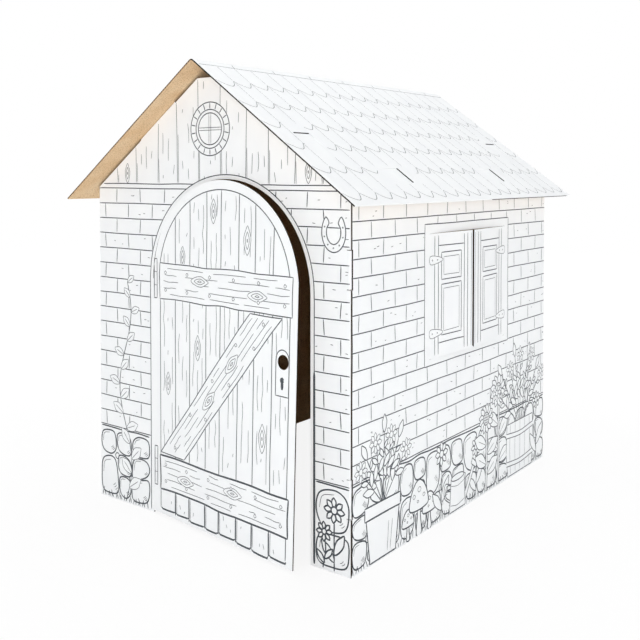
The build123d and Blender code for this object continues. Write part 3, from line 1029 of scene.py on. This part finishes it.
def painted_tab_gap_shade():
    """A dark strip at the tip of each tab: painted shade of the gap that the real sheet's tabs leave by
    dipping deeper.
    """
    drawing = new_drawing()
    half_tab = (-TAB / 2, 0, TAB / 2)
    for u in GABLE_TABS:
        pen(drawing, [(u + across, GABLE_TAB_TIP) for across in half_tab], TAB_SHADE / 2)
    for u in EAVE_TAB_TIPS:
        pen(drawing, [(u, EAVE_TABS + across) for across in half_tab], TAB_SHADE)
    return drawing


for name, side in (("right_slope", 1), ("left_slope", -1)):
    corner = (side * EAVE_REACH, -side * ROOF_LENGTH / 2, EAVE_HEIGHT)
    up_slope = (-side * math.cos(ROOF_PITCH), 0, math.sin(ROOF_PITCH))
    slope = flat_panel(corner, (0, side, 0), up_slope)
    print_panel(name + "_print", tile_drawing(), slope, *INK)
    print_panel(name + "_painted_tab_gap_shade", painted_tab_gap_shade(), slope, *PAINTED_SHADE)

# Painted shade on the right eave
# A flat strip of the darkest edge finish lies along the back half of the right eave's cut edge: painted
# shade at the eave's edge there.
EAVE_SHADE_LINE = ((600.0, -0.3), (845.0, -0.2), (1090.0, -0.2))  # along the eave and off the middle of the board
EAVE_SHADE_WIDTH = 2.2
thickness_way = Vector((math.sin(ROOF_PITCH), 0, math.cos(ROOF_PITCH)))
eave_corner = Vector((EAVE_REACH, -ROOF_LENGTH / 2, EAVE_HEIGHT)) - thickness_way * (BOARD / MM) / 2
eave_shade = new_drawing()
pen(eave_shade, EAVE_SHADE_LINE, EAVE_SHADE_WIDTH)
eave_face = flat_panel(eave_corner, (0, 1, 0), thickness_way)
print_panel("right_eave_painted_shade", eave_shade, eave_face, *PAINTED_SHADE)

# Corner joints
# Where a gable ends at the side wall of the other sheet, its cut edge and a strip of painted shade beside
# it, for the open joint behind it, make one dark line up the corner, broken where the two lock tabs go in.
JOINT_PLACE = 4.6  # from the face of the gable to the middle of the joint
JOINT_STRETCHES = ((4, 122, 3.4), (204, 598, 2.8), (681, 792, 1.7))  # low end, high end and width
for name, way in (("front", 1), ("back", -1)):
    joint_shade = new_drawing()
    for low, high, width in JOINT_STRETCHES:
        rule(joint_shade, (JOINT_PLACE, low), (JOINT_PLACE, high), width)
    side_wall = flat_panel((way * HALF_WIDTH, -way * HALF_DEPTH, 0), (0, way, 0), UP)
    print_panel(name + "_corner_shade", joint_shade, side_wall, *PAINTED_SHADE)

# Floor, light and camera
# A white studio floor that keeps a soft shadow, even light from all round, and a camera where the
# photograph's was: at the height of the eaves, to the right of the door.
FLOOR_SIZE = 14.0
FLOOR_DROP = 0.0005  # keeps the floor clear of the cut edges that stand on it
FLOOR_GLOW = 1.02  # just over white, to make up for the shading that is kept
SHADOW_KEPT = 0.12  # part of the floor's own shading that the camera sees
SHADOW_REACH = (1.0, 2.2)  # where that part begins and ends to fade, from the middle of the house
SKY = 0.4  # light from all round, where 1 is white
LIGHT_AIM = Vector((0, 0, 0.55))
SOFTBOX = (3.6, 1.2)
CAMERA_PLACE = (1.4344, -1.9625, 0.8365)  # fitted to the corners of the house
CAMERA_YAW = math.radians(37.203)
CAMERA_PITCH = math.radians(-1.5)
CAMERA_LENS = 49.342
CAMERA_SHIFT = -0.1916
CAMERA_SENSOR = 36.0


def seen_share(owner):
    """1 for the rays that show a thing, straight, mirrored or through glass, and 0 for those that light."""
    rays = add_node(owner, "LightPath", {}, {}).outputs
    straight = {0: rays["Is Camera Ray"], 1: rays["Is Glossy Ray"]}
    seen = add_node(owner, "Math", {"operation": "MAXIMUM"}, straight)
    through = {0: seen.outputs["Value"], 1: rays["Is Transmission Ray"]}
    return add_node(owner, "Math", {"operation": "MAXIMUM"}, through).outputs["Value"]


bpy.ops.object.select_all(action="DESELECT")
bpy.ops.mesh.primitive_plane_add(size=FLOOR_SIZE, location=(0, 0, -FLOOR_DROP))
floor = bpy.context.object
floor.name = "studio_floor"
floor_paint, paint, place = new_finish("studio_floor", roughness=1.0, gloss=0.0)
floor.data.materials.append(floor_paint)
paint.inputs["Base Color"].default_value = linear("#f0f0f0")
glow = add_node(floor_paint, "Emission", {"Strength": FLOOR_GLOW}, {})
distance = add_node(floor_paint, "VectorMath", {"operation": "LENGTH"}, {0: place})
fade = {"From Min": SHADOW_REACH[0], "From Max": SHADOW_REACH[1], "To Min": 1 - SHADOW_KEPT}
white_part = add_node(floor_paint, "MapRange", fade, {"Value": distance.outputs["Value"]})
parts = {0: seen_share(floor_paint), 1: white_part.outputs["Result"]}
share = add_node(floor_paint, "Math", {"operation": "MULTIPLY"}, parts)
looks = {0: share.outputs["Value"], 1: paint.outputs["BSDF"], 2: glow.outputs["Emission"]}
mixed = add_node(floor_paint, "MixShader", {}, looks)
out = floor_paint.node_tree.nodes["Material Output"]
floor_paint.node_tree.links.new(mixed.outputs["Shader"], out.inputs["Surface"])

world = bpy.data.worlds.new("studio")
bpy.context.scene.world = world
world.use_nodes = True
backdrop = world.node_tree.nodes["Background"]
backdrop.inputs["Color"].default_value = linear("#ffffff")
strength = add_node(world, "MapRange", {"To Min": SKY}, {"Value": seen_share(world)})
world.node_tree.links.new(strength.outputs["Result"], backdrop.inputs["Strength"])

for name, spot, size, power in (
    ("front_softbox", (1.5, -3.6, 0.85), SOFTBOX, 61.0),
    ("right_softbox", (4.2, 0.6, 0.85), SOFTBOX, 50.0),
    ("back_softbox", (-1.5, 3.6, 0.85), SOFTBOX, 61.0),
    ("left_softbox", (-4.2, -0.6, 0.85), SOFTBOX, 50.0),
    ("top_softbox", (0.0, 0.0, 3.8), (2.6, 2.6), 48.0),
):
    bpy.ops.object.light_add(type="AREA", location=spot)
    lamp = bpy.context.object
    lamp.name = name
    lamp.data.shape = "RECTANGLE"
    lamp.data.size, lamp.data.size_y = size
    lamp.data.energy = power
    lamp.rotation_euler = (LIGHT_AIM - Vector(spot)).to_track_quat("-Z", "Y").to_euler()

bpy.ops.object.camera_add(location=CAMERA_PLACE, rotation=(math.pi / 2 + CAMERA_PITCH, 0, CAMERA_YAW))
camera = bpy.context.object
camera.data.sensor_width = CAMERA_SENSOR
camera.data.lens = CAMERA_LENS
camera.data.shift_y = CAMERA_SHIFT
bpy.context.scene.camera = camera
bpy.context.scene.view_settings.view_transform = "Standard"
